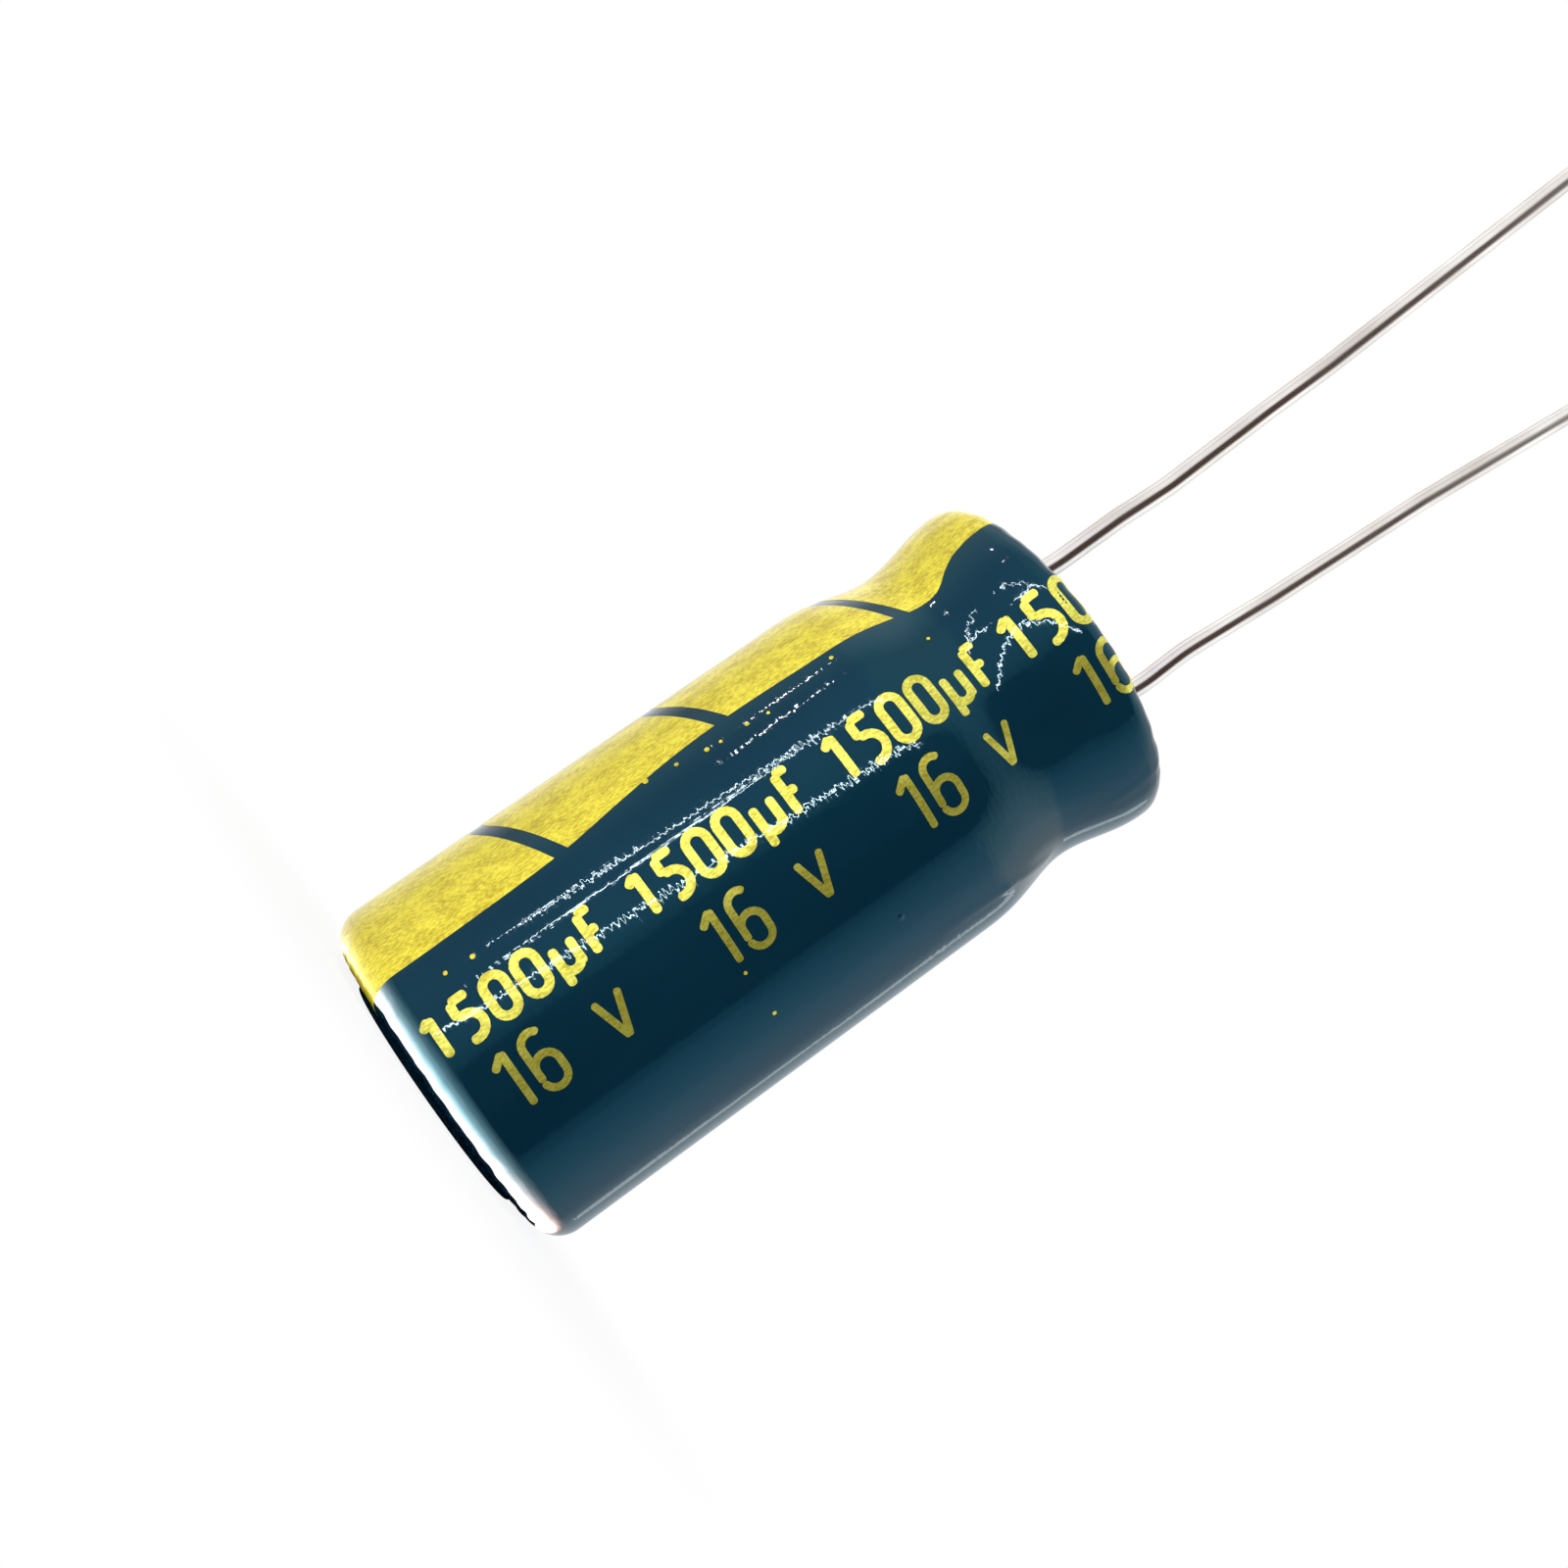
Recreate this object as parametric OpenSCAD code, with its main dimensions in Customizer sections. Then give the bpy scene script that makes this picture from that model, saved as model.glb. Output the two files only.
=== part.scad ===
// Radial aluminium electrolytic capacitor, 10 x 20 mm nominal, leads at 5 mm.
// It stands on its vent end: +Z runs from the vent end to the leads, and the
// negative lead is on the -X side. Origin: middle of the vent end, on the floor.

/* [Can] */
// Outside diameter of the bare aluminium can
can_d = 10; // [9:0.1:12]
// Height of the bare can, from its closed end to the top of the rolled rim
can_h = 20.2; // [18:0.1:30]
// Thickness of the can's side
can_wall = 0.3; // [0.2:0.01:0.4]
// Thickness of the can's closed end
can_floor = 0.35; // [0.25:0.01:0.6]
// Inside radius of the corner between the closed end and the side
can_corner_in = 0.5; // [0.3:0.05:0.9]

/* [Vent] */
// Distance from the ends of the score lines to the edge of the sleeve's opening
vent_margin = 0.6; // [0.2:0.05:1.5]
// Width of a score line
vent_w = 0.25; // [0.1:0.01:0.4]
// Depth of a score line
vent_depth = 0.15; // [0.05:0.01:0.2]

/* [Bead and rim] */
// Distance from the rim's top down to the narrowest place of the bead
bead_drop = 2.98; // [2.6:0.02:3.6]
// Depth of the bead, measured in from the can's side
bead_depth = 0.45; // [0.2:0.01:0.6]
// Height over which the side runs in from below to the bead
bead_run_in = 3.1; // [2:0.1:4]
// Inside radius of the rolled rim's bend
rim_bend_in = 0.1; // [0.06:0.01:0.3]
// Angle through which the rim is rolled in
rim_turn = 84; // [70:1:88]
// Width of the rolled rim, from the can's side to the hole that it leaves open
rim_w = 0.95; // [0.7:0.01:1.2]

/* [Sleeve] */
// Thickness of the shrunk plastic film
film = 0.1; // [0.05:0.01:0.15]
// Width of film that is folded in over the vent end
sleeve_fold = 1.8; // [1.6:0.05:2.4]
// Width of the raised lip at the edge of that fold
lip_w = 0.2; // [0.15:0.01:0.3]
// How far the lip stands out of the film around it
lip_h = 0.2; // [0.1:0.01:0.3]
// How far the film reaches in past the rolled rim
sleeve_overhang = 0.3; // [0.1:0.01:0.5]

/* [Seal] */
// Height of the rubber seal, from its lower face to its raised middle
seal_h = 4.2; // [3.6:0.1:5]
// Gap between the edge of the rolled rim and the seal's raised middle
boss_gap = 0.6; // [0.3:0.01:0.8]
// Height by which the middle stands above the shoulder under the rim
boss_h = 0.16; // [0.05:0.01:0.25]
// Clearance of the narrow hole around a lead, on the radius
lead_clear = 0.04; // [0.02:0.01:0.1]
// Depth of the dimple where a lead comes out of the seal
dimple = 0.18; // [0.05:0.01:0.3]

/* [Terminals] */
// Distance between the middles of the two leads
pitch = 5; // [4.6:0.1:5.2]
// Diameter of a tab's round shank
shank_d = 2; // [1.5:0.05:2.2]
// How far a shank stands out of the seal's lower face
shank_proud = 0.25; // [0.1:0.05:0.6]
// Thickness of seal left between the shank's end and the seal's top
shank_cover = 1.15; // [0.8:0.05:1.4]
// Width of a tab's flattened part
paddle_w = 2.2; // [1.6:0.1:2.6]
// Thickness of a tab's flattened part
paddle_t = 0.3; // [0.2:0.01:0.5]
// Height of the winding that is left below the tabs
paddle_rest = 4.2; // [1:0.1:6]

/* [Leads] */
// Diameter of the tinned wire
lead_d = 0.6; // [0.5:0.01:0.8]
// Height of the anode lead's end above the rim
anode_reach = 28; // [20:0.5:32]
// Height of the cathode lead's end above the rim
cathode_reach = 25; // [20:0.5:30]
// How much the wire swells where it is kinked, on the radius
kink_swell = 0.01; // [0.005:0.005:0.03]

/* [Winding] */
// Clearance between the taped winding and the can, on the radius
roll_clear = 0.27; // [0.1:0.01:0.5]
// Room between the winding and the seal
roll_headroom = 1.3; // [0.8:0.1:2]
// Diameter of the hole that the winding pin leaves
roll_hole_d = 1.6; // [1:0.1:2]
// Thickness of the tape around the winding
tape_t = 0.08; // [0.04:0.01:0.12]
// Height of bare paper above the tape and below it
tape_margin = 2.6; // [1:0.1:4]

/* [Hidden] */
$fn = 96;
cut = 0.01;

can_r = can_d / 2;
can_z0 = lip_h + film;
floor_z = can_z0 + can_floor;
corner_r = can_corner_in + can_wall;
rim_z = can_z0 + can_h;
bead_z = rim_z - bead_drop;
bead_r = can_r - bead_depth;

// The rim's cone climbs from the end of its bend to the hole that it leaves.
rim_bend_r = rim_bend_in + can_wall;
rim_hole_r = can_r - rim_w;
bend_end_r = can_r - rim_bend_r * (1 - cos(rim_turn));
cone_rise = (bend_end_r - rim_hole_r) / tan(rim_turn);
bend_z = rim_z - cone_rise - rim_bend_r * sin(rim_turn);
// The rim's edge is cut square, and the seal's shoulder lies under its inner corner.
rim_edge = [rim_hole_r, rim_z] - can_wall * [cos(rim_turn), sin(rim_turn)];

vent_opening_r = can_r - sleeve_fold;
vent_len = 2 * (vent_opening_r - vent_margin);
lip_r = vent_opening_r + lip_w;
sleeve_end_r = rim_hole_r - sleeve_overhang;

boss_r = rim_hole_r - boss_gap;
seal_top = rim_edge[1] + boss_h;
seal_z0 = seal_top - seal_h;
lead_r = lead_d / 2;
lead_hole_r = lead_r + lead_clear;
shank_r = shank_d / 2;
shank_top = seal_top - shank_cover;
shank_z0 = seal_z0 - shank_proud;

roll_r = can_r - can_wall - roll_clear - tape_t;
roll_h = seal_z0 - roll_headroom - floor_z;
tape_h = roll_h - 2 * tape_margin;
paddle_h = shank_z0 - floor_z - paddle_rest;

// The kinks of each wire from the seal's top upwards, as the straight length
// before the kink, in hundredths of the wire's reach, and its angle, where plus
// turns away from the middle.
ANODE_KINKS = [[1.8, 4.5], [7.9, -7], [5.4, 7.5], [11.8, -1.5], [21.1, 2.3]];
CATHODE_KINKS = [[2, -3], [4.4, 4], [8.4, -3], [7.2, 4.8], [14.8, -1.3], [9.2, 1.9]];

function flipped(list) = [for (i = [len(list) - 1:-1:0]) list[i]];
function after_first(list) = [for (i = [1:len(list) - 1]) list[i]];

function arc(centre, r, from, to, steps) =
    [for (i = [0:steps])
        let (a = from + (to - from) * i / steps) centre + r * [cos(a), sin(a)]];

// A smooth blend between two radii, from one height to another.
function blend(r0, z0, r1, z1, steps) =
    [for (i = [0:steps])
        let (k = i / steps) [r0 + (r1 - r0) * (1 - cos(180 * k)) / 2, z0 + (z1 - z0) * k]];

// The can's outer face as [radius, height], from a radius on the closed end to
// a radius on the rim's cone, which may lie past the rim's edge.
function can_face(from_r, to_r) = concat(
    [[from_r, can_z0]],
    arc([can_r - corner_r, can_z0 + corner_r], corner_r, -90, 0, 10),
    blend(can_r, bead_z - bead_run_in, bead_r, bead_z, 14),
    after_first(blend(bead_r, bead_z, can_r, bend_z, 14)),
    after_first(arc([can_r - rim_bend_r, bend_z], rim_bend_r, 0, rim_turn, 10)),
    [[to_r, rim_z - (to_r - rim_hole_r) / tan(rim_turn)]]);

function unit(v) = v / norm(v);
function along(path, i) =
    unit(path[min(i + 1, len(path) - 1)] - path[max(i - 1, 0)]);

// A path moved outwards by d, square to itself.
function grown(path, d) =
    [for (i = [0:len(path) - 1])
        let (t = along(path, i)) path[i] + d * [t[1], -t[0]]];

can_inner_face = grown(can_face(0, rim_hole_r), -can_wall);

module can() {
    wall = [for (p = can_inner_face) if (p[1] > floor_z) p];
    inside = concat([[0, floor_z], [wall[0][0], floor_z]], wall);
    color("silver")
    difference() {
        rotate_extrude() polygon(concat(can_face(0, rim_hole_r), flipped(inside)));
        for (a = [45, 135])
            rotate(a)
                translate([-vent_len / 2, -vent_w / 2, can_z0 - cut])
                    cube([vent_len, vent_w, vent_depth + cut]);
    }
}

module sleeve() {
    path = can_face(lip_r, sleeve_end_r);
    lip = [[lip_r, 0], [vent_opening_r, 0], [vent_opening_r, can_z0]];
    color([0.09, 0.25, 0.33])
    rotate_extrude() polygon(concat(path, flipped(grown(path, film)), lip));
}

module seal_bung() {
    side = [for (p = can_inner_face) if (p[1] > seal_z0 && p[1] < rim_edge[1] - cut) p];
    body = concat([[0, seal_z0], [side[0][0], seal_z0]], side,
                  [rim_edge, [boss_r + boss_h, rim_edge[1]], [boss_r, seal_top], [0, seal_top]]);
    color([0.12, 0.12, 0.12])
    difference() {
        rotate_extrude() polygon(body);
        for (side = [-1, 1])
            translate([side * pitch / 2, 0, 0]) {
                translate([0, 0, seal_z0 - cut])
                    cylinder(r = shank_r, h = shank_top - seal_z0 + cut);
                translate([0, 0, shank_top - cut])
                    cylinder(r = lead_hole_r, h = shank_cover + 2 * cut);
                translate([0, 0, seal_top - dimple])
                    cylinder(r1 = lead_hole_r, r2 = lead_hole_r + dimple + cut, h = dimple + cut);
            }
    }
}

// The foils and papers, wound as one roll, with the slots that the flattened
// parts of the tabs fill.
module wound_element() {
    color([0.78, 0.72, 0.6])
    difference() {
        translate([0, 0, floor_z]) cylinder(r = roll_r, h = roll_h);
        translate([0, 0, floor_z - cut]) cylinder(d = roll_hole_d, h = roll_h + 2 * cut);
        for (side = [-1, 1])
            translate([side * pitch / 2 - paddle_t / 2, -paddle_w / 2, shank_z0 - paddle_h])
                cube([paddle_t, paddle_w, paddle_h]);
    }
}

module winding_tape() {
    color([0.85, 0.75, 0.45])
    translate([0, 0, floor_z + tape_margin])
    difference() {
        cylinder(r = roll_r + tape_t, h = tape_h);
        translate([0, 0, -cut]) cylinder(r = roll_r, h = tape_h + 2 * cut);
    }
}

// An aluminium tab: a round shank in the seal, flattened below it.
module tab(side) {
    color([0.8, 0.8, 0.82])
    translate([side * pitch / 2, 0, shank_z0]) {
        cylinder(r = shank_r, h = shank_top - shank_z0);
        translate([-paddle_t / 2, -paddle_w / 2, -paddle_h])
            cube([paddle_t, paddle_w, paddle_h + cut]);
    }
}
module anode_tab() tab(1);
module cathode_tab() tab(-1);

// The angle from upright after kink i.
function turned(kinks, i) = i < 0 ? 0 : kinks[i][1] + turned(kinks, i - 1);
// The height that the wire has gained at its last kink.
function climb(kinks, i = 0) =
    i >= len(kinks) ? 0 : kinks[i][0] * cos(turned(kinks, i - 1)) + climb(kinks, i + 1);

// A wire of straight stretches in the XZ plane, joined by slight kinks. Its
// last stretch is given by itself.
module kinked_wire(kinks, last, i = 0) {
    if (i == len(kinks)) {
        cylinder(r = lead_r, h = last);
    } else {
        cylinder(r = lead_r, h = kinks[i][0]);
        translate([0, 0, kinks[i][0]]) {
            sphere(r = lead_r + kink_swell);
            rotate([0, kinks[i][1], 0]) kinked_wire(kinks, last, i + 1);
        }
    }
}

// A lead stands on its tab's shank and leaves the seal upright.
module lead(side, kinks, reach) {
    above_seal = [for (k = kinks) [k[0] * reach / 100, k[1]]];
    in_seal = [[shank_cover + above_seal[0][0], above_seal[0][1]]];
    wire = concat(in_seal, after_first(above_seal));
    last = (rim_z + reach - shank_top - climb(wire)) / cos(turned(wire, len(wire) - 1));
    color([0.72, 0.68, 0.64])
    translate([side * pitch / 2, 0, shank_top])
        mirror([side < 0 ? 1 : 0, 0, 0])
            kinked_wire(wire, last);
}
module anode_lead() lead(1, ANODE_KINKS, anode_reach);
module cathode_lead() lead(-1, CATHODE_KINKS, cathode_reach);

can();
sleeve();
seal_bung();
wound_element();
winding_tape();
anode_tab();
cathode_tab();
anode_lead();
cathode_lead();
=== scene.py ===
from bisect import bisect_right
from math import atan2, cos, degrees, exp, pi, radians, sin, tan

import bmesh
import bpy
from mathutils import Matrix, Vector


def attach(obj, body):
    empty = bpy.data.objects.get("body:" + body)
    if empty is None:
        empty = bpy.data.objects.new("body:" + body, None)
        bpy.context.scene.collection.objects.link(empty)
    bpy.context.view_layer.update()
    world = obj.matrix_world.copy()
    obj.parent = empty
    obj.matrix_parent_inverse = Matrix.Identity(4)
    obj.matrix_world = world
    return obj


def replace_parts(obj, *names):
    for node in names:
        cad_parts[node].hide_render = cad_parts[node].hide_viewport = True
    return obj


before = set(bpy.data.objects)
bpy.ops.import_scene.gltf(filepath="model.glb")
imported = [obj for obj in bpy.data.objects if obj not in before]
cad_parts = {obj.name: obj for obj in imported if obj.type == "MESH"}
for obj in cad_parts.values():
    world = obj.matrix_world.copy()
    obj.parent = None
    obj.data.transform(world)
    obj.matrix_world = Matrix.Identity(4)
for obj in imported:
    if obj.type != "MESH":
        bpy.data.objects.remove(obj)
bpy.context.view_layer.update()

# The can is one cup drawn from aluminium sheet, and two crossed score lines in
# its closed end are the vent. It keeps its CAD shape, for the sleeve and the
# seal hide all but that end and the edge of the rim.


def add_node(owner, kind, sockets, **settings):
    """One shader node; a socket takes a value, or the output that feeds it."""
    tree = owner.node_tree
    node = tree.nodes.new("ShaderNode" + kind)
    for name, value in settings.items():
        setattr(node, name, value)
    for name, value in sockets.items():
        if isinstance(value, bpy.types.NodeSocket):
            tree.links.new(value, node.inputs[name])
        else:
            node.inputs[name].default_value = value
    return node


def new_material(name, even):
    """A material whose even values stand on the shader's own sockets."""
    material = bpy.data.materials.new(name)
    material.use_nodes = True
    shader = material.node_tree.nodes["Principled BSDF"]
    for socket, value in even.items():
        shader.inputs[socket].default_value = value
    return material


def feed(material, socket, output):
    """A pattern drives one socket of the material's shader."""
    shader = material.node_tree.nodes["Principled BSDF"]
    material.node_tree.links.new(output, shader.inputs[socket])


def grain(material, size_mm, stretch=(1, 1, 1), detail=2.0):
    """Noise over the piece's own coordinates, in grains of about that size."""
    place = add_node(material, "TexCoord", {}).outputs["Object"]
    drawn = add_node(material, "Mapping", {"Vector": place, "Scale": stretch}).outputs["Vector"]
    noise = {"Vector": drawn, "Scale": 1000 / size_mm, "Detail": detail}
    return add_node(material, "TexNoise", noise).outputs["Fac"]


def ramp_through(owner, share, stops):
    """A colour by a share from 0 to 1, through stops of a place and a colour."""
    ramp = add_node(owner, "ValToRGB", {"Fac": share})
    marks = ramp.color_ramp.elements
    marks[0].position = stops[0][0]
    marks[1].position = stops[-1][0]
    for place, _ in stops[1:-1]:
        marks.new(place)
    for mark, (_, colour) in zip(marks, stops):
        mark.color = (*colour, 1)
    return ramp.outputs["Color"]


def shades(material, share, low, high, start=0.35, end=0.65):
    """A colour between two, by the share that a pattern gives."""
    return ramp_through(material, share, [(start, low), (end, high)])


def spread(material, share, low, high):
    """A number between two, by the share that a pattern gives."""
    sockets = {"Value": share, "From Min": 0.3, "From Max": 0.7, "To Min": low, "To Max": high}
    return add_node(material, "MapRange", sockets).outputs["Result"]


def relief(material, share, height_mm, under=None):
    """Bump of that height, over the bump below it if there is one."""
    sockets = {"Strength": 1.0, "Distance": height_mm / 1000, "Height": share}
    if under:
        sockets["Normal"] = under
    return add_node(material, "Bump", sockets).outputs["Normal"]


def dress(node_name, material):
    """A CAD node keeps its shape and gets the material."""
    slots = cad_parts[node_name].data.materials
    slots.clear()
    slots.append(material)


def drawn_aluminium(name, low, high, stretch):
    """Aluminium with the fine marks of its tool drawn out along one axis."""
    material = new_material(name, {"Metallic": 1.0})
    marks = grain(material, 0.12, stretch, detail=4.0)
    feed(material, "Base Color", shades(material, marks, low, high))
    feed(material, "Roughness", spread(material, grain(material, 0.9), 0.24, 0.42))
    feed(material, "Normal", relief(material, marks, 0.003))
    return material


dress("can", drawn_aluminium("can_aluminium", (0.66, 0.67, 0.69), (0.82, 0.83, 0.85), (1, 1, 0.04)))

# The winding is etched foil and paper rolled up and soaked, held closed by a
# turn of tape. The tabs are wire pressed flat where they run between the turns.
# All of it is sealed in the can.


def wound_layers():
    """Turns of grey foil and brown paper around the part's axis."""
    material = new_material("foil_and_paper", {})
    place = add_node(material, "TexCoord", {}).outputs["Object"]
    rings = {"Vector": place, "Scale": 900.0, "Distortion": 0.6}
    wave = add_node(material, "TexWave", rings, wave_type="RINGS", rings_direction="Z")
    turns = wave.outputs["Fac"]
    feed(material, "Base Color", shades(material, turns, (0.33, 0.32, 0.31), (0.72, 0.64, 0.5)))
    feed(material, "Roughness", spread(material, grain(material, 0.5), 0.45, 0.7))
    feed(material, "Normal", relief(material, turns, 0.02))
    return material


def amber_tape():
    """Smooth tape with faint folds along it."""
    material = new_material("amber_tape", {})
    folds = grain(material, 0.8, (1, 1, 0.2))
    feed(material, "Base Color", shades(material, folds, (0.6, 0.42, 0.14), (0.72, 0.54, 0.22)))
    feed(material, "Roughness", spread(material, folds, 0.25, 0.4))
    feed(material, "Normal", relief(material, folds, 0.01))
    return material


dress("wound_element", wound_layers())
dress("winding_tape", amber_tape())
for tab in ("anode_tab", "cathode_tab"):
    dress(tab, drawn_aluminium(tab + "_aluminium", (0.7, 0.7, 0.72), (0.84, 0.84, 0.86), (1, 1, 0.06)))

# The seal is one moulded rubber bung. The bead and the rolled rim grip it, and
# it keeps its CAD shape: a low boss with a dimple where each lead comes out.


def moulded_rubber():
    """Matt black rubber with a fine skin and a little dust."""
    material = new_material("moulded_rubber", {"Specular IOR Level": 0.35})
    dust = grain(material, 0.35, detail=5.0)
    skin = grain(material, 0.06, detail=3.0)
    feed(material, "Base Color", shades(material, dust, (0.012, 0.012, 0.013), (0.045, 0.043, 0.04)))
    feed(material, "Roughness", spread(material, skin, 0.5, 0.75))
    feed(material, "Normal", relief(material, skin, 0.006, relief(material, dust, 0.01)))
    return material


dress("seal_bung", moulded_rubber())

# The sleeve is a thin printed tube of plastic film, shrunk on by heat. It lies
# tight over the side, the bead and the rim, ends in a thick lip where it is
# folded over the vent end, and stays a little uneven where it shrank most.

# From here on named sizes are in millimetres and named angles in degrees, where
# a comment says nothing else.
FILM = 0.06
FILM_R = 5.07
# The lip at the vent end: its two radii, and the height at which its edge ends.
LIP_IN, LIP_OUT = 3.2, 3.4
LIP_EDGE_Z = 0.3
# Over this width beside the lip the unevenness of the film sets in.
LIP_FADE = 0.5
# The flat fold beside the lip, the round shoulder, and the end of the side.
FOLD_Z = 0.22
SHOULDER_R = 0.88
SIDE_TOP = 14.42
# The bottom of the bead. A delay above 1 makes the film leave the side later.
BEAD_Z, BEAD_R = 17.38, 4.63
BEAD_DELAY = 1.3
# The round over the rim, and the radius at which the film ends beyond it.
RIM_Z, RIM_R, RIM_TURN = 20.04, 0.48, 84
FILM_END_R = 3.77
SLEEVE_STEPS = 288
# Where the middle of the print lies around the can, from +X towards +Y.
PRINT_MIDDLE = 235
# Ripples around the film, as the height where they are strongest, their reach
# from it, and each wave's rise, crests in a turn and shift in radians.
RIPPLES = [
    (BEAD_Z, 1.3, [(0.014, 5, 0.6), (0.009, 8, 0.0)]),
    (FOLD_Z, 0.4, [(0.006, 31, 0.0), (0.006, 43, 1.3)]),
    (RIM_Z + RIM_R, 0.25, [(0.009, 27, 0.0), (0.009, 38, 2.2)]),
]
# Creases in the film by the bead, as height and angle from the print's middle
# towards the gold band for both ends, width and height.
CREASES = [
    (13.4, -56, 15.2, -58, 0.2, 0.022), (15.2, -58, 16.6, -67, 0.22, 0.03),
    (18.9, -57, 20.3, -52, 0.16, 0.022), (18.6, 79, 19.2, 64, 0.2, 0.025),
    (16.4, 120, 18.3, 131, 0.25, 0.03), (16.0, -130, 18.4, -143, 0.24, 0.03),
]
CREASES_FROM = BEAD_Z - 5
# Pimples in the film: how many cells hold one each along a metre, and their
# radius as a share of the cell.
PIMPLES, PIMPLE_R = 380.0, 0.055


def arc_line(centre, radius, start, end, steps):
    """Points on an arc, as radius and height."""
    angles = [radians(start + (end - start) * i / steps) for i in range(steps + 1)]
    return [(centre[0] + radius * cos(a), centre[1] + radius * sin(a)) for a in angles]


def eased_line(r0, z0, r1, z1, steps, delay=1.0):
    """Points on a soft blend between two radii, without the first."""
    shares = [i / steps for i in range(1, steps + 1)]
    return [(r0 + (r1 - r0) * (1 - cos(pi * k**delay)) / 2, z0 + (z1 - z0) * k) for k in shares]


def film_outline():
    """The film's outer face from its lip to its end past the rim."""
    lip_r = (LIP_OUT - LIP_IN) / 2
    lip = [(LIP_IN, LIP_EDGE_Z)] + arc_line((LIP_IN + lip_r, lip_r), lip_r, 180, 360, 8)
    fold = eased_line(LIP_OUT, FOLD_Z, FILM_R - SHOULDER_R, FOLD_Z, 4)
    shoulder = arc_line((FILM_R - SHOULDER_R, FOLD_Z + SHOULDER_R), SHOULDER_R, -90, 0, 14)
    side = eased_line(FILM_R, FOLD_Z + SHOULDER_R, FILM_R, SIDE_TOP, 24)
    bead = eased_line(FILM_R, SIDE_TOP, BEAD_R, BEAD_Z, 24, BEAD_DELAY)
    flare = eased_line(BEAD_R, BEAD_Z, FILM_R, RIM_Z, 20)
    rim = arc_line((FILM_R - RIM_R, RIM_Z), RIM_R, 0, RIM_TURN, 12)
    rim_end = Vector(rim[-1])
    cone_end = Vector((FILM_END_R, rim_end.y + (rim_end.x - FILM_END_R) / tan(radians(RIM_TURN))))
    cone = [rim_end.lerp(cone_end, share) for share in (0.25, 0.5, 0.75, 1)]
    return lip + fold + shoulder[1:] + side + bead + flare + rim[1:] + cone


OUTLINE = [Vector(p) for p in film_outline()]
# A run is a length along the outline from the lip, here for each of its points.
RUNS = [0.0]
for before, after in zip(OUTLINE, OUTLINE[1:]):
    RUNS.append(RUNS[-1] + (after - before).length)


def at_run(run):
    """The film's radius and height at a run, and the way out from it there."""
    i = min(max(bisect_right(RUNS, run) - 1, 0), len(OUTLINE) - 2)
    share = (run - RUNS[i]) / (RUNS[i + 1] - RUNS[i])
    place = OUTLINE[i].lerp(OUTLINE[i + 1], share)
    before, after = OUTLINE[max(i - 1, 0)], OUTLINE[min(i + 2, len(OUTLINE) - 1)]
    way = (after - before).normalized()
    return place, Vector((way[1], -way[0]))


def run_at(height):
    """The run at which the film has that height, from the foot of its side upwards."""
    i = next(i for i, p in enumerate(OUTLINE) if p[1] >= height)
    share = (height - OUTLINE[i - 1][1]) / (OUTLINE[i][1] - OUTLINE[i - 1][1])
    return RUNS[i - 1] + share * (RUNS[i] - RUNS[i - 1])


def hump(x, width):
    """A soft bump of height 1 around zero."""
    return exp(-((x / width) ** 2))


def crease(height, angle, z0, angle0, z1, angle1, width, rise):
    """A soft ridge along a line on the film that fades out past both ends."""
    start, end = Vector((z0, radians(angle0) * FILM_R)), Vector((z1, radians(angle1) * FILM_R))
    turned = (radians(PRINT_MIDDLE) - angle + pi) % (2 * pi) - pi
    away = Vector((height, turned * FILM_R)) - start
    share = min(max(away.dot(end - start) / (end - start).length_squared, 0), 1)
    return rise * hump((away - (end - start) * share).length, width)


def film_lift(radius, height, angle):
    """How far the shrunk film stands off its plain form. The lip stays flat."""
    # All of the side is out of round by a few thousandths of a millimetre.
    lift = 0.006 * sin(2 * angle + 0.8) + 0.004 * sin(3 * angle + 0.25 * height)
    for middle, reach, waves in RIPPLES:
        ripple = sum(rise * sin(crests * angle + shift) for rise, crests, shift in waves)
        lift += hump(height - middle, reach) * ripple
    if CREASES_FROM < height < RIM_Z + RIM_R:
        lift += sum(crease(height, angle, *shape) for shape in CREASES)
    return lift * min(max((radius - LIP_OUT) / LIP_FADE, 0), 1)


def on_film(run, angle, proud=0.0):
    """The point of the film at a run and an angle in radians, or that far above it."""
    place, out = at_run(run)
    lifted = place + out * (film_lift(place[0], place[1], angle) + proud)
    return Vector((lifted[0] * cos(angle), lifted[0] * sin(angle), lifted[1]))


def finished_mesh(bm, name):
    """The mesh data of a finished bmesh, which is freed."""
    mesh = bpy.data.meshes.new(name)
    bm.to_mesh(mesh)
    bm.free()
    return mesh


def new_object(name, data):
    """An object in the scene that holds the data."""
    holder = bpy.data.objects.new(name, data)
    bpy.context.scene.collection.objects.link(holder)
    return holder


def make_piece(bm, name, material):
    """A mesh made in millimetres becomes a piece that rides on the part."""
    bmesh.ops.scale(bm, vec=(0.001, 0.001, 0.001), verts=bm.verts)
    mesh = finished_mesh(bm, name)
    mesh.shade_smooth()
    mesh.set_sharp_from_angle(angle=radians(40))
    mesh.materials.append(material)
    piece = new_object(name, mesh)
    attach(piece, "root")
    return piece


def sums(owner, operation, first, second=0.0):
    """One step of arithmetic between nodes."""
    return add_node(owner, "Math", {0: first, 1: second}, operation=operation).outputs[0]


def smooth_step(owner, value, start, end, low=0.0, high=1.0):
    """A number that goes softly from low to high as the value goes from start to end."""
    sockets = {"Value": value, "From Min": start, "From Max": end, "To Min": low, "To Max": high}
    return add_node(owner, "MapRange", sockets, interpolation_type="SMOOTHSTEP").outputs["Result"]


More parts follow.
